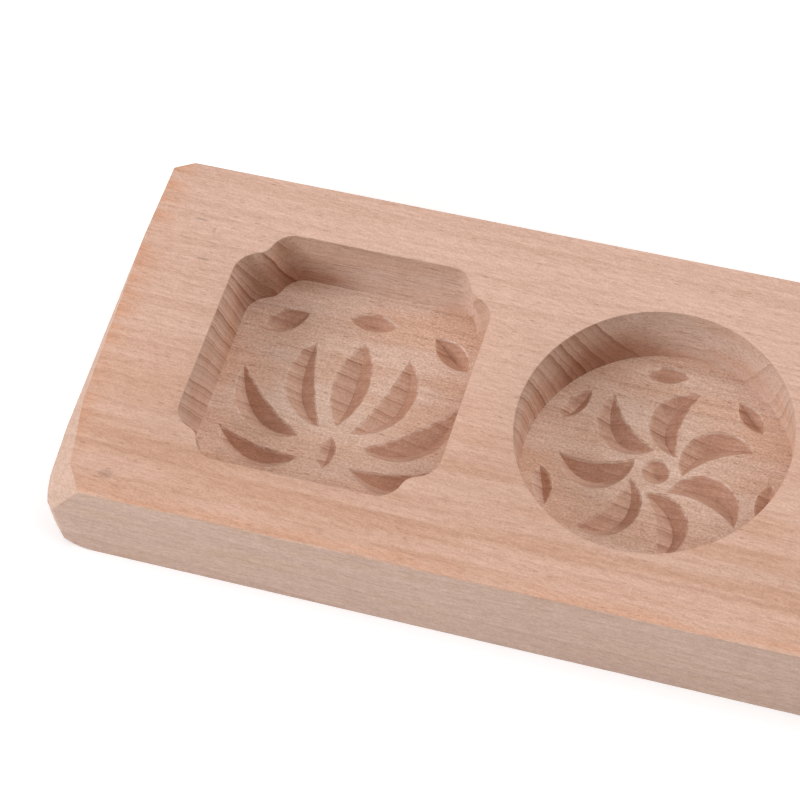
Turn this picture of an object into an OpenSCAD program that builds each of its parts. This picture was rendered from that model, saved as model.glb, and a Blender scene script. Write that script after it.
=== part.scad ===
// Mooncake mould board: one beech plank with a row of moulds routed into its face and a handle cut
// on one end. Each mould has upright walls and a flat floor, with an ornament cut into the floor by
// a 90 degree V cutter, so that it stands proud on the pressed cake.

/* [Plank] */
// Thickness of the plank
plank_h = 27; // [25:0.5:40]
// Wood left between the end of the plank and the first or last mould
end_margin = 24; // [18:0.5:40]
// Wood left in front of the moulds
front_margin = 15; // [12:0.5:30]
// Wood left behind the moulds
back_margin = 14; // [12:0.5:30]
// Rounding of the long edges
edge_r = 1.2; // [0.5:0.1:3]
// Rounding of the plain end where it meets the underside
end_foot_r = 8.5; // [2:0.5:12]
// How far the plain end runs out of square over the plank's width
end_skew = 1.5; // [0:0.1:3]

/* [Sanded corners of the plain end] */
// Corner chamfer at the back, measured along the plank
back_chamfer_l = 4.5; // [1:0.1:8]
// Corner chamfer at the back, measured across the plank
back_chamfer_w = 2.4; // [1:0.1:6]
// Corner chamfer at the front, measured along the plank
front_chamfer_l = 1.9; // [0.6:0.1:3]
// Corner chamfer at the front, measured across the plank
front_chamfer_w = 1.5; // [0.6:0.1:4]
// End bevel at the front corner, which runs out at the back, measured along the plank
end_bevel_l = 3.9; // [1:0.1:6]
// Length of the end bevel, measured across the plank
end_bevel_w = 95; // [60:1:120]
// End bevel at the front corner, measured downwards
end_bevel_h = 5.2; // [1:0.1:7]
// Upper facet on the front corner, measured along the plank
upper_facet_l = 10.1; // [4:0.1:14]
// Upper facet on the front corner, measured across the plank
upper_facet_w = 15; // [8:1:24]
// Upper facet on the front corner, measured downwards
upper_facet_h = 10.5; // [6:0.5:16]
// Lower facet on the front corner, measured along the plank
lower_facet_l = 10.1; // [4:0.1:14]
// Lower facet on the front corner, measured across the plank
lower_facet_w = 8.6; // [6:0.2:14]
// Lower facet on the front corner, measured downwards
lower_facet_h = 13.2; // [8:0.2:18]
// Long facet beside them, measured along the plank
long_facet_l = 7.1; // [5:0.1:9]
// Long facet beside them, measured across the plank
long_facet_w = 38; // [28:1:48]
// Long facet beside them, measured downwards
long_facet_h = 7.6; // [6:0.2:12]

/* [Moulds] */
// Number of moulds in the row, square and round by turns
mould_count = 4; // [2:1:6]
// Width of a square mould and diameter of a round one
mould_w = 60; // [58:0.5:75]
// Depth of a mould down to its floor
mould_depth = 18; // [12:0.5:19]
// Wood left between two moulds
mould_gap = 12; // [8:1:30]
// Distance from a square mould's true corner to where its straight side ends
corner_run = 12; // [10:0.5:14]
// Outward rounding beside each indented corner
corner_r = 5.6; // [4:0.2:6]
// Radius of the bump that indents each corner
corner_bump_r = 4; // [3:0.2:5]

/* [Handle] */
// Length of the handle from the plank's shoulders to its tip
handle_l = 95; // [70:1:130]
// Width of the handle
handle_w = 34; // [26:1:44]
// Rounding of the plank's shoulders
shoulder_r = 14; // [6:1:20]
// Hollow rounding where the handle leaves the shoulders
root_r = 12; // [6:1:16]
// Rounding of the handle's edges
handle_edge_r = 4; // [2:0.5:8]
// Radius of the hole that the board hangs by
hang_hole_r = 4; // [3:0.5:6]
// Distance from the middle of the hanging hole to the tip of the handle
hang_hole_in = 16; // [12:1:24]

/* [Lotus ornament] */
// Length of the upright middle petal
lotus_mid_l = 23; // [16:1:26]
// Width of the upright middle petal
lotus_mid_w = 7; // [4:0.5:8]
// Width of the curved petals on both sides of it
lotus_petal_w = 5.4; // [3:0.2:7]
// Width of the low leaves
lotus_leaf_w = 4.6; // [3:0.2:6]
// Width of the stem and of the ripples under the flower
ripple_w = 3; // [2:0.2:3.6]
// Length of the middle ripple
ripple_l = 16; // [10:0.5:18]
// Radius of the seeds beside the flower
seed_r = 2.4; // [1.5:0.1:3]

/* [Whirl ornament] */
// Number of curved petals
whirl_count = 7; // [4:1:8]
// Radius at which the curved petals begin
whirl_in = 5.5; // [4.5:0.5:7]
// Length of a curved petal from tip to tip
whirl_l = 16.5; // [12:0.5:18]
// Width of a curved petal
whirl_w = 5; // [3:0.2:6]
// Bow of a curved petal's hollow side
whirl_bow = 1.6; // [0.5:0.1:2.5]
// Lean of the curved petals from the radius
whirl_lean = 34; // [10:1:45]
// Radius of the pit in the middle
whirl_heart_r = 2.8; // [1.5:0.1:3.5]

/* [Four-leaf ornament] */
// Length of the four leaves
clover_l = 16; // [10:1:18]
// Width of the four leaves
clover_w = 7; // [4:0.5:8]
// Radius at which the leaves begin
clover_in = 5.5; // [5:0.5:7]
// Length of the four bowed strokes between the leaves
clover_bow_l = 13; // [8:1:15]
// Width of the bowed strokes
clover_bow_w = 4; // [2:0.5:5]
// Radius of the ring in the middle
clover_ring_r = 2.6; // [2:0.1:3]
// Width of the ring in the middle
clover_ring_w = 2; // [1:0.1:2.4]

/* [Daisy ornament] */
// Number of petals
daisy_count = 12; // [8:1:14]
// Radius at which the petals begin
daisy_in = 6; // [5:0.5:8]
// Length of a petal
daisy_l = 12.5; // [8:0.5:14]
// Width of a petal
daisy_w = 4.4; // [2:0.2:5]
// Radius of the pit in the middle
daisy_heart_r = 3.2; // [1.5:0.1:4]
// Radius of the small pits beyond the petals
daisy_dot_r = 1.7; // [1:0.1:2]

/* [Hidden] */
$fn = 96;

beech = [0.85, 0.70, 0.61];
mouth = 1; // how far a cutter rises out of the wood that it enters
mould_pitch = mould_w + mould_gap;
body_l = 2 * end_margin + mould_count * mould_w + (mould_count - 1) * mould_gap;
body_w = front_margin + mould_w + back_margin;
total_l = body_l + handle_l;
left_x = -total_l / 2;
body_end_x = left_x + body_l;
tip_x = total_l / 2;
mould_y = (front_margin - back_margin) / 2;
floor_z = plank_h - mould_depth;
root_x = body_end_x + root_r;
// How far the bump's centre lies inside the true corner, so that it touches both roundings
bump_in = (corner_run + corner_r
    - sqrt(2 * pow(corner_r + corner_bump_r, 2) - pow(corner_run - corner_r, 2))) / 2;
lift = 0.5; // how far a V cutter rises above the floor that it cuts
point_r = 0.2; // radius of the V cutter's blunt point
drawn_w = 60; // width of the floor that the ornaments are drawn on
reach = mould_w / drawn_w; // so they follow the mould

// Places of the lotus's strokes: the two tips, and the bow of the hollow side
lotus_mid_y = 5.5;
inner_petal = [[-3, -7], [-11, 16.5], 0.6];
outer_petal = [[-6, -9.5], [-24, 7], 1];
low_leaf = [[-5, -14], [-25, -10], 0.8];
side_ripple = [[-12, -21.5], [-23, -19.5], 1];
stem_y = -12.5;
stem_l = 8;
ripple_y = -18.5;
ripple_bow = 2;
seed_places = [[-20.5, 17.5, 0], [-15.5, 23, 0], [-24.5, 11.5, 0]];
seed_small = 0.7; // the outer seeds against the middle one

// The small leaves near the rim of the whirl
rim_leaf_at = 25;
rim_leaf_l = 8;
rim_leaf_w = 3;
rim_turn = whirl_lean * 0.75 + 180 / whirl_count;

// The strokes between the four leaves
clover_bow_at = 17;
clover_bow = 1.5;
clover_pit_at = 11.5;
clover_pit_r = 2;

daisy_dot_gap = 4; // from a petal's tip to the ring of small pits

function mould_x(i) = left_x + end_margin + mould_w / 2 + i * mould_pitch;
// Radius of the arc over a chord of length l that bows out by b
function arc_r(l, b) = (l * l / 4 + b * b) / (2 * b);

// ---- The plank ----

// Plan of the plank without its handle, with the shoulders rounded and the plain end's corners sanded off
module body_plan() {
    front = -body_w / 2;
    back = body_w / 2;
    polygon([
        [left_x + front_chamfer_l, front],
        [body_end_x - shoulder_r, front],
        [body_end_x - shoulder_r, back],
        [left_x + end_skew + back_chamfer_l, back],
        [left_x + end_skew, back - back_chamfer_w],
        [left_x, front + front_chamfer_w]
    ]);
    translate([body_end_x - shoulder_r - mouth, front + shoulder_r])
        square([shoulder_r + mouth, body_w - 2 * shoulder_r]);
    for (y = [front + shoulder_r, back - shoulder_r])
        translate([body_end_x - shoulder_r, y]) circle(r = shoulder_r);
}

// Plan of the handle's root, which widens into the shoulders with a hollow on both sides
module root_plan() {
    root_w = handle_w + 2 * root_r;
    difference() {
        translate([body_end_x - mouth, -root_w / 2]) square([root_r + mouth, root_w]);
        for (y = [-root_w / 2, root_w / 2])
            translate([root_x, y]) circle(r = root_r);
    }
}

// Upright section across the plank, w wide, with its four long edges rounded to r
module rounded_section(w, r) {
    translate([-w / 2 + r, 0]) square([w - 2 * r, plank_h]);
    translate([-w / 2, r]) square([w, plank_h - 2 * r]);
    for (y = [r - w / 2, w / 2 - r], z = [r, plank_h - r])
        translate([y, z]) circle(r = r);
}

// The same section drawn out along the plank from x0 to x1
module drawn_out(w, r, x0, x1) {
    translate([x0, 0, 0]) rotate([90, 0, 90]) linear_extrude(x1 - x0) rounded_section(w, r);
}

// Side view of the plank, with the plain end rounded at the foot
module side_view() {
    translate([left_x + end_foot_r, 0]) square([total_l + mouth - end_foot_r, plank_h]);
    translate([left_x, end_foot_r]) square([2 * end_foot_r, plank_h - end_foot_r]);
    translate([left_x + end_foot_r, end_foot_r]) circle(r = end_foot_r);
}

// What one flat sanding stroke takes off the front corner of the plain end: everything outside the
// plane that meets the corner's three edges at l along the plank, w across it and h down
module corner_facet(l, w, h) {
    across = l * w / sqrt(l * l + w * w);
    depth = across * h / sqrt(across * across + h * h);
    size = l + w + h;
    translate([left_x, -body_w / 2, plank_h])
        rotate([0, atan2(across, h), atan2(l, w)])
            translate([depth - size, -size, -size])
                cube([size, 2 * size, 2 * size]);
}

module body_block() {
    difference() {
        intersection() {
            linear_extrude(plank_h) body_plan();
            drawn_out(body_w, edge_r, left_x - mouth, body_end_x + mouth);
            translate([0, body_w, 0]) rotate([90, 0, 0]) linear_extrude(2 * body_w) side_view();
        }
        corner_facet(end_bevel_l, end_bevel_w, end_bevel_h);
        corner_facet(upper_facet_l, upper_facet_w, upper_facet_h);
        corner_facet(lower_facet_l, lower_facet_w, lower_facet_h);
        corner_facet(long_facet_l, long_facet_w, long_facet_h);
    }
}

module handle_block() {
    round_x = tip_x - handle_w / 2;
    linear_extrude(plank_h) root_plan();
    drawn_out(handle_w, handle_edge_r, body_end_x - mouth, round_x);
    translate([round_x, 0, 0])
        rotate_extrude()
            intersection() {
                rounded_section(handle_w, handle_edge_r);
                square([handle_w, plank_h]);
            }
}

// ---- The moulds ----

// Mouth of a square mould: straight sides, and at each corner two roundings with a bump between
module square_mouth() {
    half = mould_w / 2;
    side = half - corner_run;
    round_y = half - corner_r;
    bump = half - bump_in;
    square([2 * side, mould_w], center = true);
    square([mould_w, 2 * side], center = true);
    for (turn = [0:90:270])
        rotate(turn) {
            translate([side, round_y]) circle(r = corner_r);
            translate([round_y, side]) circle(r = corner_r);
            difference() {
                polygon([[0, 0], [round_y, side], [bump, bump], [side, round_y]]);
                translate([bump, bump]) circle(r = corner_bump_r);
            }
        }
}

// ---- The V cuts, all as deep as half their width, with the mould's floor at zero ----

// A round pit, with the small flat that the cutter's blunt point leaves
module pit(r) {
    translate([0, 0, point_r - r]) cylinder(h = r - point_r + lift, r1 = point_r, r2 = r + lift);
}

// A straight leaf with two pointed ends, lying along X
module leaf(l, w) {
    bend = arc_r(l, w / 2);
    intersection() {
        translate([0, bend - w / 2, 0]) pit(bend);
        translate([0, w / 2 - bend, 0]) pit(bend);
    }
}

// A bowed leaf: its hollow side bows towards +Y by bow, and its full side by bow and w
module bowed_leaf(l, w, bow) {
    full = arc_r(l, bow + w);
    hollow = arc_r(l, bow);
    difference() {
        translate([0, bow + w - full, 0]) pit(full);
        translate([0, bow - hollow, -full])
            cylinder(h = full + 2 * lift, r1 = hollow + full, r2 = hollow - 2 * lift);
    }
}

// A closed ring groove
module ring_groove(r, w) {
    rotate_extrude()
        polygon([[r - w / 2 - lift, lift], [r, -w / 2], [r + w / 2 + lift, lift]]);
}

// A bowed leaf with its tips at points p and q, bowing to the left of the way from p to q
module bowed_between(p, q, w, bow) {
    m = (p + q) / 2;
    d = q - p;
    translate([m.x, m.y, 0]) rotate(atan2(d.y, d.x)) bowed_leaf(norm(d), w, bow);
}

// ---- The ornaments ----

module lotus() {
    translate([0, lotus_mid_y, 0]) rotate(90) leaf(lotus_mid_l, lotus_mid_w);
    translate([0, stem_y, 0]) rotate(90) leaf(stem_l, ripple_w);
    bowed_between([ripple_l / 2, ripple_y], [-ripple_l / 2, ripple_y], ripple_w, ripple_bow);
    for (side = [0, 1])
        mirror([side, 0, 0]) {
            bowed_between(inner_petal[0], inner_petal[1], lotus_petal_w, inner_petal[2]);
            bowed_between(outer_petal[0], outer_petal[1], lotus_petal_w, outer_petal[2]);
            bowed_between(low_leaf[0], low_leaf[1], lotus_leaf_w, low_leaf[2]);
            bowed_between(side_ripple[0], side_ripple[1], ripple_w, side_ripple[2]);
            translate(seed_places[0]) pit(seed_r);
            translate(seed_places[1]) pit(seed_small * seed_r);
            translate(seed_places[2]) pit(seed_small * seed_r);
        }
}

module whirl() {
    pit(whirl_heart_r);
    for (i = [0:whirl_count - 1])
        rotate(i * 360 / whirl_count) {
            translate([whirl_in, 0, 0])
                rotate(whirl_lean)
                    translate([whirl_l / 2, 0, 0])
                        bowed_leaf(whirl_l, whirl_w, whirl_bow);
            rotate(rim_turn) translate([rim_leaf_at, 0, 0]) rotate(90) leaf(rim_leaf_l, rim_leaf_w);
        }
}

module four_leaf() {
    ring_groove(clover_ring_r, clover_ring_w);
    for (turn = [0:90:270])
        rotate(turn) {
            translate([clover_in + clover_l / 2, 0, 0]) leaf(clover_l, clover_w);
            rotate(45) {
                translate([clover_bow_at, 0, 0])
                    rotate(-90) bowed_leaf(clover_bow_l, clover_bow_w, clover_bow);
                translate([clover_pit_at, 0, 0]) pit(clover_pit_r);
            }
        }
}

module daisy() {
    pit(daisy_heart_r);
    for (i = [0:daisy_count - 1])
        rotate(i * 360 / daisy_count) {
            translate([daisy_in + daisy_l / 2, 0, 0]) leaf(daisy_l, daisy_w);
            rotate(180 / daisy_count)
                translate([daisy_in + daisy_l + daisy_dot_gap, 0, 0]) pit(daisy_dot_r);
        }
}

// Mould number i, with its upright walls and the ornament in its floor
module mould(i) {
    translate([mould_x(i), mould_y, floor_z]) {
        if (i % 2 == 0)
            linear_extrude(mould_depth + mouth) square_mouth();
        else
            cylinder(h = mould_depth + mouth, r = mould_w / 2);
        scale(reach) {
            if (i % 4 == 0) lotus();
            if (i % 4 == 1) whirl();
            if (i % 4 == 2) four_leaf();
            if (i % 4 == 3) daisy();
        }
    }
}

module mould_board() {
    color(beech)
        difference() {
            union() {
                body_block();
                handle_block();
            }
            for (i = [0:mould_count - 1])
                mould(i);
            translate([tip_x - hang_hole_in, 0, -mouth])
                cylinder(h = plank_h + 2 * mouth, r = hang_hole_r);
        }
}

mould_board();
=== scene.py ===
import math

import bmesh
import bpy
from mathutils import Matrix, Vector


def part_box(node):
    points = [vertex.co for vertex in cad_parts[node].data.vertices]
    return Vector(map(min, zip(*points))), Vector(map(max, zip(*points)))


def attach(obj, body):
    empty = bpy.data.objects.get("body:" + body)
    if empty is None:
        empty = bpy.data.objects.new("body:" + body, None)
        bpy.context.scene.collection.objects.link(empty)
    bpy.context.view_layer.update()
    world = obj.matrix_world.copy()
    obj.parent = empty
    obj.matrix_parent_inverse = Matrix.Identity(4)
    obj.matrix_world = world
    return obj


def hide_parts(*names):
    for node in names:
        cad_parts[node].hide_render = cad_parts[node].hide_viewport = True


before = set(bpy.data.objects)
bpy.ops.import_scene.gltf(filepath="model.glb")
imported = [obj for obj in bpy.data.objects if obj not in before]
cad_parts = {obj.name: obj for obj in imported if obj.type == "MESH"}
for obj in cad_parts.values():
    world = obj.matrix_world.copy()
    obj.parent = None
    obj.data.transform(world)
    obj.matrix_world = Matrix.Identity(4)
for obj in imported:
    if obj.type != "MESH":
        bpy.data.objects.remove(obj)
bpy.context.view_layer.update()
bpy.ops.object.select_all(action="DESELECT")

# ---- The plank ----
# One plank of steamed beech, planed all round, with a handle sawn out of one end. The plain end
# was sawn out of square, and its corners were sanded off in flat strokes, most of them at the
# front, where the longest bevels the whole end. All other edges are broken with sandpaper.
mm = 0.001
touch = 0.02 * mm
low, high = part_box("mould_board")
plank_w = high.y - low.y
plank_h = high.z - low.z
handle_l = 95 * mm
handle_w = 34 * mm
shoulder_r = 14 * mm
root_r = 12 * mm
foot_r = 8.5 * mm
edge_r = 1.2 * mm
handle_edge_r = 4 * mm
facet_edge_r = 0.35 * mm
body_end_x = high.x - handle_l
end_skew = 1.5 * mm
facets_end_x = low.x + 10.5 * mm
tip_steps = 18
corner_steps = 12
foot_steps = 8
edge_steps = 5
sharp_edge = math.radians(12)
nearly_level = 0.999
# The facets sanded off the top corners of the plain end: on the back (1) or front (-1) corner, and how
# many millimetres each reaches along the plank, across it and down. Endless depth makes it upright.
sanded_facets = (
    (1, 4.5, 2.4, math.inf),
    (-1, 1.9, 1.5, math.inf),
    (-1, 3.9, 95, 5.2),
    (-1, 10.1, 15, 10.5),
    (-1, 10.1, 8.6, 13.2),
    (-1, 7.1, 38, 7.6),
)


def pick(piece, kind, test):
    """Selects those of the piece's verts, edges or faces in edit mode whose middle passes the test."""
    bpy.ops.mesh.select_all(action="DESELECT")
    bpy.ops.mesh.select_mode(type={"verts": "VERT", "edges": "EDGE", "faces": "FACE"}[kind])
    work = bmesh.from_edit_mesh(piece.data)
    for part in getattr(work, kind):
        corners = [part] if kind == "verts" else part.verts
        middle = sum((v.co for v in corners), Vector()) / len(corners)
        if test(part, middle):
            part.select_set(True)
    work.select_flush_mode()
    bmesh.update_edit_mesh(piece.data)


def near(a, b):
    return abs(a - b) < touch


def upright(edge):
    a, b = (v.co for v in edge.verts)
    return near(a.x, b.x) and near(a.y, b.y)


def bevel(radius, steps):
    bpy.ops.mesh.bevel(offset=radius, offset_type="OFFSET", segments=steps, profile=0.5,
                       affect="EDGES", clamp_overlap=False)


def plane_off(point, away):
    """Takes everything off the piece in edit mode that lies beyond a plane."""
    bpy.ops.mesh.select_all(action="SELECT")
    bpy.ops.mesh.bisect(plane_co=point, plane_no=Vector(away).normalized(), use_fill=True, clear_outer=True)


def sand_corner(y_side, along, across, down):
    """Takes a flat facet off the plain end, which meets the edges of its top corner at three distances."""
    y = y_side * plank_w / 2
    corner = Vector((low.x + end_skew * (y - low.y) / plank_w, y, high.z))
    plane_off(corner + Vector((along, 0, 0)), (-1 / along, y_side / across, 1 / down))


bpy.ops.mesh.primitive_cube_add(
    size=1,
    location=((low.x + body_end_x) / 2, (low.y + high.y) / 2, plank_h / 2),
    scale=(body_end_x - low.x, plank_w, plank_h),
)
board = bpy.context.object
board.name = "beech_board"
bpy.ops.object.transform_apply(location=True, rotation=True, scale=True)
bpy.ops.object.mode_set(mode="EDIT")
for side in (-1, 1):
    pick(board, "faces", lambda face, at: near(at.x, body_end_x))
    bpy.ops.mesh.bisect(plane_co=(0, side * handle_w / 2, 0), plane_no=(0, 1, 0))
pick(board, "faces", lambda face, at: near(at.x, body_end_x) and near(at.y, 0))
bpy.ops.mesh.extrude_region_move(TRANSFORM_OT_translate={"value": (handle_l, 0, 0)})
pick(board, "edges", lambda edge, at: upright(edge) and near(at.x, high.x))
bevel(handle_w / 2 - touch / 2, tip_steps)
pick(board, "edges", lambda edge, at: upright(edge) and near(at.x, body_end_x)
     and near(abs(at.y), plank_w / 2))
bevel(shoulder_r, corner_steps)
pick(board, "edges", lambda edge, at: upright(edge) and near(at.x, body_end_x)
     and near(abs(at.y), handle_w / 2))
bevel(root_r, corner_steps)
pick(board, "edges", lambda edge, at: near(at.x, low.x) and near(at.z, low.z))
bevel(foot_r, foot_steps)
plane_off((low.x, low.y, 0), (-plank_w, end_skew, 0))
for side, along, across, down in sanded_facets:
    sand_corner(side, along * mm, across * mm, down * mm)

# Every sharp edge is broken: least on the facets, most along the handle, and growing along
# the hollow root between them.
work = bmesh.from_edit_mesh(board.data)
weight = work.edges.layers.float.new("bevel_weight_edge")
for edge in work.edges:
    if len(edge.link_faces) == 2 and edge.calc_face_angle() > sharp_edge:
        middle = (edge.verts[0].co + edge.verts[1].co) / 2
        level_faces = [face for face in edge.link_faces if abs(face.normal.z) > nearly_level]
        radius = facet_edge_r
        if len(level_faces) == 1 and middle.x > facets_end_x:
            share = min(max((middle.x - body_end_x) / root_r, 0), 1)
            radius = edge_r + (handle_edge_r - edge_r) * share
        edge[weight] = radius / handle_edge_r
bmesh.update_edit_mesh(board.data)
bpy.ops.object.mode_set(mode="OBJECT")
broken = board.modifiers.new("broken_edges", "BEVEL")
broken.limit_method = "WEIGHT"
broken.width = handle_edge_r
broken.segments = edge_steps
broken.use_clamp_overlap = True
bpy.ops.object.modifier_apply(modifier=broken.name)

# ---- The moulds ----
# Four pockets routed 18 mm deep into the face, square and round by turns, with upright walls
# and a flat floor. The corners of the square ones are indented by a round bump.
mould_count = 4
mould_w = 60 * mm
mould_pitch = 72 * mm
mould_depth = 18 * mm
mould_y = 0.5 * mm
first_mould_x = low.x + 54 * mm
floor_z = high.z - mould_depth
corner_run = 12 * mm
corner_r = 5.6 * mm
bump_r = 4 * mm
above = 1 * mm
round_sides = 192
corner_arc_steps = 12
bump_arc_steps = 10
mouth_edge_r = 0.3 * mm
mouth_edge_steps = 2
mouth_edge = math.radians(60)
mouth_slack = 0.1 * mm


def cut(piece, cutter, how="DIFFERENCE"):
    """Cuts the cutter out of the piece, or joins or intersects them, and deletes the cutter."""
    bpy.ops.object.select_all(action="DESELECT")
    bpy.context.view_layer.objects.active = piece
    piece.select_set(True)
    joint = piece.modifiers.new("cut", "BOOLEAN")
    joint.operation = how
    joint.solver = "MANIFOLD"
    joint.object = cutter
    bpy.ops.object.modifier_apply(modifier=joint.name)
    bpy.data.objects.remove(cutter, do_unlink=True)


def round_mouth():
    bpy.ops.mesh.primitive_cylinder_add(vertices=round_sides, radius=mould_w / 2, depth=mould_depth + above,
                                        location=(0, 0, (mould_depth + above) / 2))
    cutter = bpy.context.object
    bpy.ops.object.transform_apply(location=True, rotation=True, scale=True)
    return cutter


def square_mouth():
    """Draws one side and one corner with three arcs, turns them round the middle and draws them upwards."""
    half = mould_w / 2
    side = half - corner_run
    round_at = half - corner_r
    other_corners = 3
    apart = math.sqrt(2 * (corner_r + bump_r) ** 2 - (corner_run - corner_r) ** 2)
    bump_at = half - (corner_run + corner_r - apart) / 2
    lean = math.atan2(bump_at - round_at, bump_at - side)
    bpy.ops.mesh.primitive_plane_add(size=mm, location=(-side, half, 0))
    cutter = bpy.context.object
    bpy.ops.object.transform_apply(location=True, rotation=True, scale=True)
    bpy.ops.object.mode_set(mode="EDIT")
    bpy.ops.mesh.select_mode(type="VERT")
    bpy.ops.mesh.select_all(action="SELECT")
    bpy.ops.mesh.merge(type="CENTER")
    bpy.ops.mesh.extrude_region_move(TRANSFORM_OT_translate={"value": (2 * side, 0, 0)})
    for steps, turn, centre in (
        (corner_arc_steps, math.pi / 2 - lean, (side, round_at, 0)),
        (bump_arc_steps, 2 * lean - math.pi / 2, (bump_at, bump_at, 0)),
        (corner_arc_steps, math.pi / 2 - lean, (round_at, side, 0)),
    ):
        bpy.ops.mesh.spin(steps=steps, angle=turn, center=centre, axis=(0, 0, 1))
    bpy.ops.mesh.select_all(action="SELECT")
    bpy.ops.mesh.spin(steps=other_corners, angle=other_corners * math.pi / 2, dupli=True,
                      center=(0, 0, 0), axis=(0, 0, 1))
    bpy.ops.mesh.select_all(action="SELECT")
    bpy.ops.mesh.remove_doubles(threshold=touch / 2)
    bpy.ops.mesh.edge_face_add()
    bpy.ops.mesh.extrude_region_move(TRANSFORM_OT_translate={"value": (0, 0, mould_depth + above)})
    bpy.ops.mesh.select_all(action="SELECT")
    bpy.ops.mesh.normals_make_consistent(inside=False)
    bpy.ops.object.mode_set(mode="OBJECT")
    return cutter


for number in range(mould_count):
    cutter = square_mouth() if number % 2 == 0 else round_mouth()
    cutter.location = (first_mould_x + number * mould_pitch, mould_y, floor_z)
    bpy.context.view_layer.update()
    cut(board, cutter)

# The hanging hole near the tip of the handle.
hang_hole_r = 4 * mm
hang_hole_in = 16 * mm
hang_hole_sides = 64
bpy.ops.mesh.primitive_cylinder_add(vertices=hang_hole_sides, radius=hang_hole_r, depth=plank_h + 2 * above,
                                    location=(high.x - hang_hole_in, 0, plank_h / 2))
cut(board, bpy.context.object)

# The edges of the mouths are lightly broken.
bpy.ops.object.mode_set(mode="EDIT")
pick(board, "edges", lambda edge, at: all(near(v.co.z, high.z) for v in edge.verts)
     and abs(at.y - mould_y) < mould_w / 2 + mouth_slack and edge.calc_face_angle(0) > mouth_edge)
bevel(mouth_edge_r, mouth_edge_steps)
bpy.ops.object.mode_set(mode="OBJECT")

# ---- The ornaments ----
# Each mould's floor is cut with a 90 degree V cutter, so that the ornament stands proud on the
# pressed cake. Every stroke is as deep as half its width, and leaves run out to nothing at their tips.
lift = 0.5 * mm
point_r = 0.2 * mm
cone_sides = 128
smooth_below = math.radians(32)


def cone(x, y, bottom, bottom_r, top, top_r):
    """An upright cone between two heights, with its radius at each."""
    bpy.ops.mesh.primitive_cone_add(vertices=cone_sides, radius1=bottom_r, radius2=top_r,
                                    depth=top - bottom, location=(x, y, (bottom + top) / 2))
    bpy.ops.object.transform_apply(location=True, rotation=True, scale=True)
    return bpy.context.object


def pit(r, x=0, y=0):
    """A round pit with walls at 45 degrees and a small flat at its bottom."""
    return cone(x, y, point_r - r, point_r, lift, r + lift)


def arc_r(chord, bow):
    """The radius of an arc, from its chord and how far it bows."""
    return (chord * chord / 4 + bow * bow) / (2 * bow)


def leaf(length, w):
    """A straight leaf with two pointed ends, lying along X: what two wide pits share."""
    bend = arc_r(length, w / 2)
    stroke = pit(bend, y=bend - w / 2)
    cut(stroke, pit(bend, y=w / 2 - bend), "INTERSECT")
    return stroke


def bowed_leaf(length, w, bow):
    """A leaf that bows towards +Y: a wide pit, less the cone of wood that is left in its hollow side."""
    full = arc_r(length, bow + w)
    hollow = arc_r(length, bow)
    stroke = pit(full, y=bow + w - full)
    cut(stroke, cone(0, bow - hollow, -full, hollow + full, 2 * lift, hollow - 2 * lift))
    return stroke


def ring_groove(r, core_r):
    """A pit with a cone of wood left standing in its middle."""
    stroke = pit(r)
    cut(stroke, cone(0, 0, -r, core_r + r, 2 * lift, core_r - 2 * lift))
    return stroke


def placed(stroke, x=0, y=0, turn=0.0, mirrored=False):
    """Turns the stroke about Z in degrees, moves it, and mirrors it to the other side where asked."""
    stroke.data.transform(Matrix.Translation((x, y, 0)) @ Matrix.Rotation(math.radians(turn), 4, "Z"))
    if mirrored:
        stroke.data.transform(Matrix.Scale(-1, 4, (1, 0, 0)))
        stroke.data.flip_normals()
    return stroke


def copied(stroke, turn=0.0, mirrored=False):
    twin = stroke.copy()
    twin.data = stroke.data.copy()
    bpy.context.collection.objects.link(twin)
    return placed(twin, turn=turn, mirrored=mirrored)


def ring_of(strokes, count):
    """The strokes and their copies, turned round the mould's middle."""
    return [copied(stroke, 360 / count * step) for stroke in strokes for step in range(1, count)] + strokes


def between(tail, tip, w, bow):
    """A bowed leaf from one point to another, which bows to the left of the way."""
    along = Vector(tip) - Vector(tail)
    middle = (Vector(tip) + Vector(tail)) / 2
    stroke = bowed_leaf(along.length * mm, w * mm, bow * mm)
    return placed(stroke, middle.x * mm, middle.y * mm, math.degrees(math.atan2(along.y, along.x)))


def lotus():
    """Petals and low leaves open to both sides of an upright petal, over three ripples of water."""
    # Two petals, a low leaf and a ripple on the left: tail, tip, width and bow in millimetres.
    bowed_strokes = (
        ((-3.6, -7), (-11, 15), 7, 0.8),
        ((-7, -10), (-25.5, 5), 7, 1.2),
        ((-6, -15.5), (-26, -11.5), 5.6, 1),
        ((-12, -23.5), (-24, -21), 4, 1),
    )
    one_side = [between(*stroke) for stroke in bowed_strokes]
    one_side.append(placed(leaf(12 * mm, 6 * mm), -20 * mm, 18.5 * mm, turn=35))
    upright_petal = placed(leaf(23 * mm, 8.4 * mm), y=5.5 * mm, turn=90)
    top_leaf = placed(leaf(12 * mm, 5 * mm), y=22.5 * mm)
    stem = placed(leaf(8.5 * mm, 4 * mm), y=-13 * mm, turn=90)
    middle_ripple = between((9, -20.5), (-9, -20.5), 4, 2)
    other_side = [copied(stroke, mirrored=True) for stroke in one_side]
    return [upright_petal, top_leaf, stem, middle_ripple] + one_side + other_side


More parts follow.
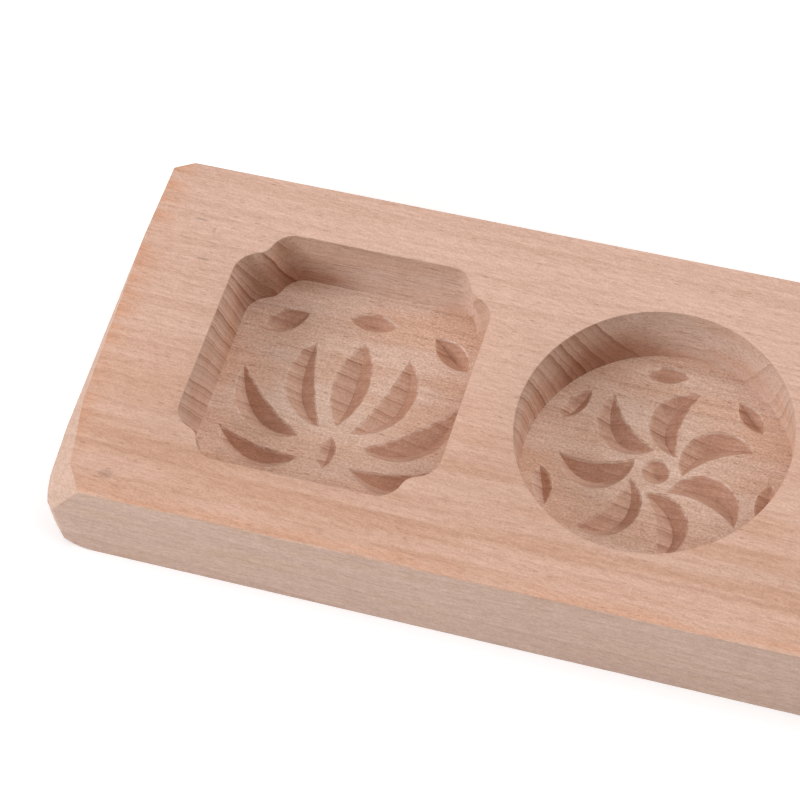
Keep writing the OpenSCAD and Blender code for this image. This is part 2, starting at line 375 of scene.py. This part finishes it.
def whirl():
    """Seven bowed petals lean round the middle pit, with a small leaf at the rim between them."""
    petal_count = 7
    petal_l = 17
    petal_in = 5.8
    lean = 34
    rim_lean = 0.62 * lean
    middle_x = petal_in + petal_l / 2 * math.cos(math.radians(lean))
    middle_y = petal_l / 2 * math.sin(math.radians(lean))
    petal = placed(bowed_leaf(petal_l * mm, 7 * mm, 1.8 * mm), middle_x * mm, middle_y * mm, turn=lean)
    rim_leaf = placed(leaf(10 * mm, 4.4 * mm), x=25 * mm, turn=90)
    rim_leaf = placed(rim_leaf, turn=rim_lean + 180 / petal_count)
    return ring_of([petal, rim_leaf], petal_count) + [pit(3.2 * mm)]


def four_leaf():
    """Four broad leaves round a small ring, with a pit and a bowed leaf in each corner."""
    broad_leaf = placed(leaf(18 * mm, 8.4 * mm), x=14.5 * mm)
    corner_leaf = placed(bowed_leaf(17 * mm, 5.6 * mm, 2 * mm), x=18 * mm, turn=-90)
    corner_leaf = placed(corner_leaf, turn=45)
    corner_pit = placed(pit(2.6 * mm, 12 * mm), turn=45)
    return ring_of([broad_leaf, corner_leaf, corner_pit], 4) + [ring_groove(4 * mm, 1.6 * mm)]


def daisy():
    """Twelve straight petals round the middle pit, with a small pit beyond each gap."""
    petal_count = 12
    petal = placed(leaf(13.5 * mm, 5.4 * mm), x=12.9 * mm)
    rim_pit = placed(pit(2.2 * mm, 23 * mm), turn=180 / petal_count)
    return ring_of([petal, rim_pit], petal_count) + [pit(3.4 * mm)]


for number, ornament in enumerate((lotus, whirl, four_leaf, daisy)):
    carving, *others = ornament()
    for stroke in others:
        cut(carving, stroke, "UNION")
    carving.data.transform(Matrix.Translation((first_mould_x + number * mould_pitch, mould_y, floor_z)))
    cut(board, carving)

bpy.ops.object.shade_smooth_by_angle(angle=smooth_below)

# ---- Beech ----
# Steamed beech, sanded smooth outside and left as the cutters leave it in the moulds. The growth
# rings stand nearly upright along the board: sawn across they show as bands, along it as soft lines.
# The face's pale colour, and the darker warm colour painted towards the front as shade.
pale_beech = (0.80, 0.545, 0.43, 1)
warm_beech = (0.70, 0.43, 0.305, 1)
edge_orange = (0.75, 0.415, 0.265, 1)
# The sides' colour is painted greyer than the face, as shade. The tan is a stain.
shaded_side_beech = (0.76, 0.535, 0.425, 1)
side_tan = (0.74, 0.515, 0.375, 1)
fresh_beech = (0.79, 0.555, 0.425, 1)
fresh_pale = (0.83, 0.63, 0.52, 1)
# Carved walls where lit, then the same walls in painted shade.
carved_lit_side = (0.77, 0.535, 0.415, 1)
carved_shaded_side = (0.62, 0.375, 0.27, 1)
# Pale of the torn fibres at the lips, partly a painted highlight.
burr_and_highlight_pale = (0.86, 0.69, 0.58, 1)
ring_brown = (0.66, 0.52, 0.44, 1)
# Brown of the flecks, also used for the painted shade at the foot of the mould walls.
fleck_and_shade_brown = (0.62, 0.47, 0.40, 1)
knock_grey = (0.60, 0.62, 0.62, 1)
# In materials, places are in millimetres.
plain_end = low.x / mm
front_side = low.y / mm
back_side = high.y / mm
face_top = high.z / mm
mould_floor = floor_z / mm
# Small grey knocks: how far from the plain end and the middle, half their length and width, and how dark.
knocks = (
    (12.4, 29.8, 2.4, 0.45, 0.7),
    (16.3, 27.6, 0.6, 0.9, 0.6),
    (16.5, 19.5, 2.2, 0.4, 0.75),
    (14.3, -38.7, 2.6, 1.9, 0.5),
)


def join(tree, feed, socket):
    """Feeds a socket from a node, from one of a node's outputs, or with a plain value."""
    if isinstance(feed, bpy.types.Node):
        feed = next(output for output in feed.outputs if output.enabled)
    if isinstance(feed, bpy.types.NodeSocket):
        tree.links.new(feed, socket)
    else:
        socket.default_value = feed


def put(tree, kind, feeds=(), **settings):
    """Adds a node with its settings, and feeds its inputs."""
    node = tree.nodes.new("ShaderNode" + kind)
    for name, value in settings.items():
        setattr(node, name, value)
    for name, feed in dict(feeds).items():
        join(tree, feed, node.inputs[name])
    return node


def sum_up(tree, operation, *values):
    return put(tree, "Math", dict(enumerate(values)), operation=operation)


def ramp(tree, value, start, end, low_out=0.0, high_out=1.0):
    """Goes smoothly from one value to another while its input goes from start to end."""
    feeds = {"Value": value, "From Min": start, "From Max": end, "To Min": low_out, "To Max": high_out}
    return put(tree, "MapRange", feeds, interpolation_type="SMOOTHSTEP")


def blend(tree, share, under, over, how="MIX"):
    """Mixes two colours. Several of the node's inputs share a name, so they go by number."""
    share_in, under_in, over_in = 0, 6, 7
    feeds = {share_in: share, under_in: under, over_in: over}
    return put(tree, "Mix", feeds, data_type="RGBA", blend_type=how)


def noise(tree, place, blot, detail=2.0, roughness=0.5):
    """Noise with blots of so many millimetres along X, Y and Z."""
    scaled = put(tree, "VectorMath", {0: place, 1: [1 / size for size in blot]}, operation="MULTIPLY")
    return put(tree, "TexNoise", {"Vector": scaled, "Scale": 1, "Detail": detail, "Roughness": roughness})


def new_group(name, numbers, results):
    """A node group that takes a place in millimetres and numbers, and gives numbers."""
    group = bpy.data.node_groups.new(name, "ShaderNodeTree")
    group.interface.new_socket(name="Place", in_out="INPUT", socket_type="NodeSocketVector")
    for title, value in numbers.items():
        socket = group.interface.new_socket(name=title, in_out="INPUT", socket_type="NodeSocketFloat")
        socket.default_value = value
    for title in results:
        group.interface.new_socket(name=title, in_out="OUTPUT", socket_type="NodeSocketFloat")
    return group, group.nodes.new("NodeGroupInput").outputs, group.nodes.new("NodeGroupOutput").inputs


def growth_rings():
    """Tone darkens through each year's growth up to a thin dark Line, and starts again pale."""
    ring_normal = (0.02, 0.949, 0.316)
    slow_blot = (110, 30, 30)
    jog_blot = (9, 2.5, 2.5)
    jog_size = 0.6
    weather_pace = 0.6
    weather_size = 1.1
    faintest_year = 0.5
    late_growth = 1.7
    tree, given, result = new_group("growth_rings", {"Spacing": 3.3, "Wander": 5.0}, ("Tone", "Line"))
    place = given["Place"]
    across = put(tree, "VectorMath", {0: place, 1: ring_normal}, operation="DOT_PRODUCT")
    slow = sum_up(tree, "SUBTRACT", noise(tree, place, slow_blot, detail=1), 0.5)
    jog = sum_up(tree, "SUBTRACT", noise(tree, place, jog_blot), 0.5)
    wavy = sum_up(tree, "MULTIPLY_ADD", slow, given["Wander"], across)
    jagged = sum_up(tree, "MULTIPLY_ADD", jog, jog_size, wavy)
    years = sum_up(tree, "DIVIDE", jagged, given["Spacing"])
    weather_feeds = {"W": years, "Scale": weather_pace, "Detail": 1.0}
    weather = put(tree, "TexNoise", weather_feeds, noise_dimensions="1D")
    uneven = sum_up(tree, "MULTIPLY_ADD", weather, weather_size, years)
    part = sum_up(tree, "FRACT", uneven)
    year = sum_up(tree, "FLOOR", uneven)
    lot = put(tree, "TexWhiteNoise", {"W": year}, noise_dimensions="1D")
    strength = ramp(tree, lot, start=0, end=1, low_out=faintest_year)
    tone = sum_up(tree, "POWER", part, late_growth)
    line_begins = ramp(tree, part, start=0.86, end=0.95)
    line_ends = ramp(tree, part, start=0.965, end=1.0)
    line = sum_up(tree, "SUBTRACT", line_begins, line_ends)
    join(tree, sum_up(tree, "MULTIPLY", tone, strength), result["Tone"])
    join(tree, sum_up(tree, "MULTIPLY", line, strength), result["Line"])
    return tree


def fibres():
    """Soft Streaks and a finer Ripple with the grain, thin dark Hairs, and Specks where fibres are cut."""
    ripple_slant = math.radians(8)
    mix_roughness = 0.6
    tree, given, result = new_group("fibres", {}, ("Streaks", "Ripple", "Hairs", "Specks"))
    straight = given["Place"]
    askew = put(tree, "VectorRotate", {"Vector": straight, "Angle": ripple_slant}, rotation_type="Z_AXIS")
    # Each mark: its blots in millimetres, the noise's detail, and from where to where it darkens.
    for title, place, blot, detail, faint, full in (
        ("Streaks", straight, (26, 1.4, 1.4), 3, 0.36, 0.66),
        ("Ripple", askew, (3.2, 0.75, 0.75), 2, 0.34, 0.68),
        ("Hairs", straight, (5, 0.36, 0.36), 1, 0.52, 0.70),
        ("Specks", straight, (0.6, 0.36, 0.36), 1, 0.34, 0.66),
    ):
        marks = ramp(tree, noise(tree, place, blot, detail, mix_roughness), start=faint, end=full)
        join(tree, marks, result[title])
    return tree


def flecks():
    """Short dark dashes with the grain, in the given share of their places."""
    fleck_l = 2.6
    fleck_w = 0.62
    dark_within = 0.16
    gone_beyond = 0.36
    tree, given, result = new_group("flecks", {"Share": 0.4}, ("Flecks",))
    per_fleck = (1 / fleck_l, 1 / fleck_w, 1 / fleck_w)
    squeezed = put(tree, "VectorMath", {0: given["Place"], 1: per_fleck}, operation="MULTIPLY")
    cell = put(tree, "TexVoronoi", {"Vector": squeezed, "Scale": 1})
    spot = ramp(tree, cell.outputs["Distance"], start=dark_within, end=gone_beyond, low_out=1, high_out=0)
    lot = put(tree, "SeparateColor", {0: cell.outputs["Color"]})
    kept = sum_up(tree, "LESS_THAN", lot.outputs["Red"], given["Share"])
    faded = sum_up(tree, "MULTIPLY", kept, lot.outputs["Green"])
    join(tree, sum_up(tree, "MULTIPLY", spot, faded), result["Flecks"])
    return tree


ring_group = growth_rings()
fibre_group = fibres()
fleck_group = flecks()


def new_beech(name, ground, looks):
    """A beech material on the ground colour that a function paints, with how strong each mark shows."""
    fine_spacing = 1.45
    fine_wander = 5
    roughness_swing = 0.06
    speck_depth = 0.1 * mm
    shine = 0.3
    material = bpy.data.materials.new(name)
    material.use_nodes = True
    tree = material.node_tree
    shader = tree.nodes["Principled BSDF"]
    coordinates = put(tree, "TexCoord")
    to_mm = (1 / mm, 1 / mm, 1 / mm)
    place = put(tree, "VectorMath", {0: coordinates.outputs["Object"], 1: to_mm}, operation="MULTIPLY")
    facing = put(tree, "SeparateXYZ", {0: coordinates.outputs["Normal"]})
    # End grain shows in full where it faces the handle, and by a third where it faces the plain end.
    torn = ramp(tree, facing.outputs["X"], start=0.2, end=0.85)
    burnished = ramp(tree, facing.outputs["X"], start=-0.3, end=-0.9, high_out=0.35)
    endwise = sum_up(tree, "MAXIMUM", torn, burnished)
    upwards = ramp(tree, facing.outputs["Z"], start=0.8, end=0.97)
    rings = put(tree, "Group", {"Place": place}, node_tree=ring_group)
    fine_feeds = {"Place": place, "Spacing": fine_spacing, "Wander": fine_wander}
    fine_rings = put(tree, "Group", fine_feeds, node_tree=ring_group)
    grain = put(tree, "Group", {"Place": place}, node_tree=fibre_group)
    dashes = put(tree, "Group", {"Place": place, "Share": looks["fleck_share"]}, node_tree=fleck_group)

    def shown(mask, along, across_grain):
        """A mark's strength, which differs between faces along the grain and end grain."""
        share = ramp(tree, endwise, start=0, end=1, low_out=along, high_out=across_grain)
        return sum_up(tree, "MULTIPLY", mask, share)

    colour = ground(tree, place, facing, upwards)
    for mask, strength, stain in (
        (rings.outputs["Tone"], looks["ring_tone"], ring_brown),
        (rings.outputs["Line"], looks["ring_line"], ring_brown),
        (fine_rings.outputs["Tone"], looks["fine_ring"], ring_brown),
        (fine_rings.outputs["Line"], looks["fine_ring"], ring_brown),
        (grain.outputs["Streaks"], looks["streaks"], ring_brown),
        (grain.outputs["Ripple"], looks["ripple"], ring_brown),
        (grain.outputs["Hairs"], looks["hairs"], ring_brown),
        (grain.outputs["Specks"], looks["specks"], fleck_and_shade_brown),
        (dashes.outputs["Flecks"], looks["flecks"], fleck_and_shade_brown),
    ):
        colour = blend(tree, shown(mask, *strength), colour, stain, "MULTIPLY")
    join(tree, colour, shader.inputs["Base Color"])
    smoothest = looks["roughness"] - roughness_swing
    roughest = looks["roughness"] + roughness_swing
    rough = ramp(tree, grain.outputs["Specks"], start=0, end=1, low_out=smoothest, high_out=roughest)
    join(tree, rough, shader.inputs["Roughness"])
    shader.inputs["Specular IOR Level"].default_value = shine
    bump_feeds = {"Height": grain.outputs["Specks"], "Strength": looks["bump"], "Distance": speck_depth}
    join(tree, put(tree, "Bump", bump_feeds), shader.inputs["Normal"])
    return material


def sanded_ground(tree, place, facing, upwards):
    """Pale at the back, warmer along the front of the face and the plain end, and greyer down the sides. The
    face's darker warm front and the greyer sides are painted shade, streaked like the grain.
    """
    long_streaks = (80, 5, 5)
    pale_patches = (34, 10, 10)
    edge_patches = (14, 3, 3)
    side_streaks = (45, 5, 5)
    apart = put(tree, "SeparateXYZ", {0: place})
    # Painted shade: the face darkens and warms towards the front, streaked like the grain.
    painted_front_shade = ramp(tree, apart.outputs["Y"], start=back_side - 6.5, end=front_side + 0.5, high_out=0.85)
    streak = ramp(tree, noise(tree, place, long_streaks), start=0.40, end=0.62, low_out=0.35, high_out=1.25)
    share = put(tree, "Clamp", {0: sum_up(tree, "MULTIPLY", painted_front_shade, streak)})
    face = blend(tree, share, pale_beech, warm_beech)
    patch = ramp(tree, noise(tree, place, pale_patches), start=0.52, end=0.72, high_out=0.5)
    face = blend(tree, patch, face, pale_beech)
    front_edge = ramp(tree, apart.outputs["Y"], start=front_side + 4, end=front_side + 0.9)
    plain_edge = ramp(tree, apart.outputs["X"], start=plain_end + 9, end=plain_end + 1.5, high_out=1.4)
    edge = sum_up(tree, "MAXIMUM", front_edge, plain_edge)
    patchy = ramp(tree, noise(tree, place, edge_patches), start=0.36, end=0.62, low_out=0.1, high_out=0.6)
    face = blend(tree, sum_up(tree, "MULTIPLY", edge, patchy), face, edge_orange)
    for x, y, length, width, depth in knocks:
        spot = (plain_end + x, y, face_top)
        off = put(tree, "VectorMath", {0: place, 1: spot}, operation="SUBTRACT")
        round_off = put(tree, "VectorMath", {0: off, 1: (1 / length, 1 / width, 1)}, operation="MULTIPLY")
        away = put(tree, "VectorMath", {0: round_off}, operation="LENGTH")
        knocked = ramp(tree, away, start=0.3, end=1, low_out=depth, high_out=0)
        face = blend(tree, knocked, face, knock_grey, "MULTIPLY")
    # Painted shade: the sides are greyer than the face. The tan streaks on them are stains.
    stained = ramp(tree, noise(tree, place, side_streaks), start=0.48, end=0.7, high_out=0.6)
    side = blend(tree, stained, shaded_side_beech, side_tan)
    return blend(tree, upwards, side, face)


def floor_ground(tree, place, facing, upwards):
    """Fresh wood inside the moulds, with paler patches."""
    pale_patches = (30, 9, 9)
    patch = ramp(tree, noise(tree, place, pale_patches), start=0.4, end=0.62)
    return blend(tree, patch, fresh_beech, fresh_pale)


def wall_ground(tree, place, facing, upwards):
    """Fresh wood too, but the foot of each mould's wall is painted darker and more brown at the back left,
    as shade.
    """
    # The darkest place of the painted shade, from the mould's middle along the board and the board's middle
    # across it.
    painted_shade_at = (-19, 26, 0)
    painted_shade_fades_out_to = 19
    painted_shade_full_within = 5
    most = 0.75
    margin = 3
    apart = put(tree, "SeparateXYZ", {0: place})
    from_first = sum_up(tree, "SUBTRACT", apart.outputs["X"], first_mould_x / mm)
    half_pitch = mould_pitch / mm / 2
    from_middle = sum_up(tree, "WRAP", from_first, half_pitch, -half_pitch)
    here = put(tree, "CombineXYZ", {"X": from_middle, "Y": apart.outputs["Y"]})
    off = put(tree, "VectorMath", {0: here, 1: painted_shade_at}, operation="DISTANCE")
    low_down = ramp(tree, apart.outputs["Z"], start=face_top - margin, end=mould_floor + margin)
    close_by = ramp(tree, off, start=painted_shade_fades_out_to, end=painted_shade_full_within, high_out=most)
    painted_shade = sum_up(tree, "MULTIPLY", close_by, low_down)
    # Painted shade: the foot of the wall is made more brown towards the back left.
    return blend(tree, painted_shade, floor_ground(tree, place, facing, upwards), fleck_and_shade_brown, "MULTIPLY")


def carved_ground(tree, place, facing, upwards):
    """Walls facing the front left are painted darker and more red as shade, and a pale broken fringe of torn
    fibres runs along the lips, partly a painted highlight.
    """
    burr_bits = (3, 1.2, 1.2)
    # Painted shade: walls turned to the front left take the darker, more red colour.
    to_back_right = sum_up(tree, "ADD", facing.outputs["X"], facing.outputs["Y"])
    shaded_share = ramp(tree, to_back_right, start=0.5, end=-0.45)
    wall = blend(tree, shaded_share, carved_lit_side, carved_shaded_side)
    apart = put(tree, "SeparateXYZ", {0: place})
    # Torn fibres along the lips, painted paler, partly as a highlight.
    lip = ramp(tree, apart.outputs["Z"], start=mould_floor - 0.55, end=mould_floor - 0.2)
    burr_and_highlight = ramp(tree, noise(tree, place, burr_bits), start=0.35, end=0.6, low_out=0.15, high_out=0.9)
    return blend(tree, sum_up(tree, "MULTIPLY", lip, burr_and_highlight), wall, burr_and_highlight_pale)


# How strong each mark shows: on faces along the grain, and on end grain.
sanded_beech = new_beech("sanded_beech", sanded_ground, {
    "ring_tone": (0.14, 0.16),
    "ring_line": (0.10, 0.2),
    "fine_ring": (0.10, 0.05),
    "streaks": (0.17, 0.08),
    "ripple": (0.30, 0.05),
    "hairs": (0.14, 0.05),
    "specks": (0.26, 0.08),
    "flecks": (0.5, 0.0),
    "fleck_share": 0.3,
    "roughness": 0.58,
    "bump": 0.25,
})
routed_walls = new_beech("routed_walls", wall_ground, {
    "ring_tone": (0.16, 0.9),
    "ring_line": (0.2, 0.62),
    "fine_ring": (0.1, 0.45),
    "streaks": (0.16, 0.12),
    "ripple": (0.16, 0.1),
    "hairs": (0.62, 0.1),
    "specks": (0.28, 0.3),
    "flecks": (0.3, 0.1),
    "fleck_share": 0.3,
    "roughness": 0.66,
    "bump": 0.4,
})
routed_floors = new_beech("routed_floors", floor_ground, {
    "ring_tone": (0.18, 0.2),
    "ring_line": (0.16, 0.2),
    "fine_ring": (0.1, 0.1),
    "streaks": (0.2, 0.12),
    "ripple": (0.3, 0.1),
    "hairs": (0.12, 0.1),
    "specks": (0.5, 0.2),
    "flecks": (0.7, 0.1),
    "fleck_share": 0.4,
    "roughness": 0.66,
    "bump": 0.5,
})
carved_beech = new_beech("carved_beech", carved_ground, {
    "ring_tone": (0.3, 0.85),
    "ring_line": (0.3, 0.7),
    "fine_ring": (0.2, 0.35),
    "streaks": (0.3, 0.2),
    "ripple": (0.2, 0.1),
    "hairs": (0.25, 0.15),
    "specks": (0.36, 0.3),
    "flecks": (0.3, 0.1),
    "fleck_share": 0.4,
    "roughness": 0.62,
    "bump": 0.5,
})
beech_finishes = (sanded_beech, routed_walls, routed_floors, carved_beech)
board.data.materials.clear()
for material in beech_finishes:
    board.data.materials.append(material)

# Each face inside the moulds takes its finish by its place: stroke, floor or wall.
moulds_from_x = first_mould_x - mould_w / 2
moulds_to_x = first_mould_x + (mould_count - 1) * mould_pitch + mould_w / 2
inside_above = low.z + 1 * mm
inside_below = high.z - mouth_edge_r - touch
facing_up = 0.9
for face in board.data.polygons:
    at = face.center
    over_moulds = moulds_from_x < at.x < moulds_to_x and abs(at.y - mould_y) < mould_w / 2
    if over_moulds and inside_above < at.z < inside_below:
        finish = routed_walls
        if at.z < floor_z - touch:
            finish = carved_beech
        elif face.normal.z > facing_up:
            finish = routed_floors
        face.material_index = beech_finishes.index(finish)
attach(board, "root")
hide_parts("mould_board")

# ---- The studio ----
# White paper under the board, and five soft boxes round it. The one low at the front left is the
# strongest and a little cooler. The paper glows less near the board, so that its shadow shows.
white = (1, 1, 1, 1)
paper_white = (0.88, 0.88, 0.88, 1)
studio_r = 3
studio_sides = 96
paper_roughness = 0.9
shaded_within = 0.3
white_beyond = 1.0
glow_at_board = 0.3
glow_far_off = 1.0
fill = 0.04


def seen(tree):
    """One for what the camera sees, straight or in gloss or glass, and nothing for what lights the board."""
    path = put(tree, "LightPath").outputs
    looked_at = sum_up(tree, "MAXIMUM", path["Is Camera Ray"], path["Is Glossy Ray"])
    return sum_up(tree, "MAXIMUM", looked_at, path["Is Transmission Ray"])


bpy.ops.mesh.primitive_circle_add(vertices=studio_sides, radius=studio_r, fill_type="NGON",
                                  location=(0, 0, 0))
floor = bpy.context.object
floor.name = "studio_floor"
paper = bpy.data.materials.new("white_paper")
paper.use_nodes = True
tree = paper.node_tree
shader = tree.nodes["Principled BSDF"]
shader.inputs["Base Color"].default_value = paper_white
shader.inputs["Roughness"].default_value = paper_roughness
shader.inputs["Emission Color"].default_value = white
away = put(tree, "VectorMath", {0: put(tree, "TexCoord").outputs["Object"]}, operation="LENGTH")
glow = ramp(tree, away, start=shaded_within, end=white_beyond, low_out=glow_at_board, high_out=glow_far_off)
join(tree, sum_up(tree, "MULTIPLY", glow, seen(tree)), shader.inputs["Emission Strength"])
floor.data.materials.append(paper)

world = bpy.data.worlds.new("studio")
bpy.context.scene.world = world
world.use_nodes = True
tree = world.node_tree
background = tree.nodes["Background"]
background.inputs["Color"].default_value = white
brightness = ramp(tree, seen(tree), start=0, end=1, low_out=fill)
join(tree, brightness, background.inputs["Strength"])

box_side = 0.9
box_away = 1.6
lit_at = Vector((-90, 0, 20)) * mm
# Each soft box: its bearing and height in degrees, how brightly it lights the board, and its tint.
for name, turn, rise, level, tint in (
    ("front_left", 225, 32, 1.71, (0.9, 1.0, 1.08)),
    ("left", 180, 32, 0.75, (1.18, 0.96, 0.86)),
    ("back_right", 45, 32, 1.05, (1, 1, 1)),
    ("right", 0, 62, 0.95, (1, 1, 1)),
    ("overhead", 0, 90, 0.6, (1, 1, 1)),
):
    turn = math.radians(turn)
    rise = math.radians(rise)
    towards = Vector((math.cos(turn) * math.cos(rise), math.sin(turn) * math.cos(rise), math.sin(rise)))
    soft_box = bpy.data.lights.new(name, "AREA")
    soft_box.size = box_side
    soft_box.energy = level * math.pi * box_away ** 2
    soft_box.color = tint
    holder = bpy.data.objects.new(name, soft_box)
    bpy.context.scene.collection.objects.link(holder)
    holder.location = lit_at + towards * box_away
    holder.rotation_euler = towards.to_track_quat("Z", "Y").to_euler()

# ---- The camera ----
# It looks down on the plain end from the front, through a long lens. Its place, turn and lens
# were fitted to the board's edges and the moulds' mouths.
camera_at = Vector((11.71, -309.57, 566.0)) * mm
azimuth = math.radians(26.299)
elevation = math.radians(57.816)
roll = math.radians(-10.591)
film_w = 36
lens_l = 132.24
back = Vector((math.sin(azimuth) * math.cos(elevation), -math.cos(azimuth) * math.cos(elevation),
               math.sin(elevation)))
right = Vector((0, 0, 1)).cross(back).normalized()
up = back.cross(right)
turned_right = math.cos(roll) * right + math.sin(roll) * up
turned_up = -math.sin(roll) * right + math.cos(roll) * up
turned = Matrix((turned_right, turned_up, back)).transposed().to_4x4()
lens = bpy.data.cameras.new("camera")
lens.sensor_width = film_w
lens.lens = lens_l
camera = bpy.data.objects.new("camera", lens)
bpy.context.scene.collection.objects.link(camera)
camera.matrix_world = Matrix.Translation(camera_at) @ turned
bpy.context.scene.camera = camera
bpy.context.scene.view_settings.view_transform = "Standard"
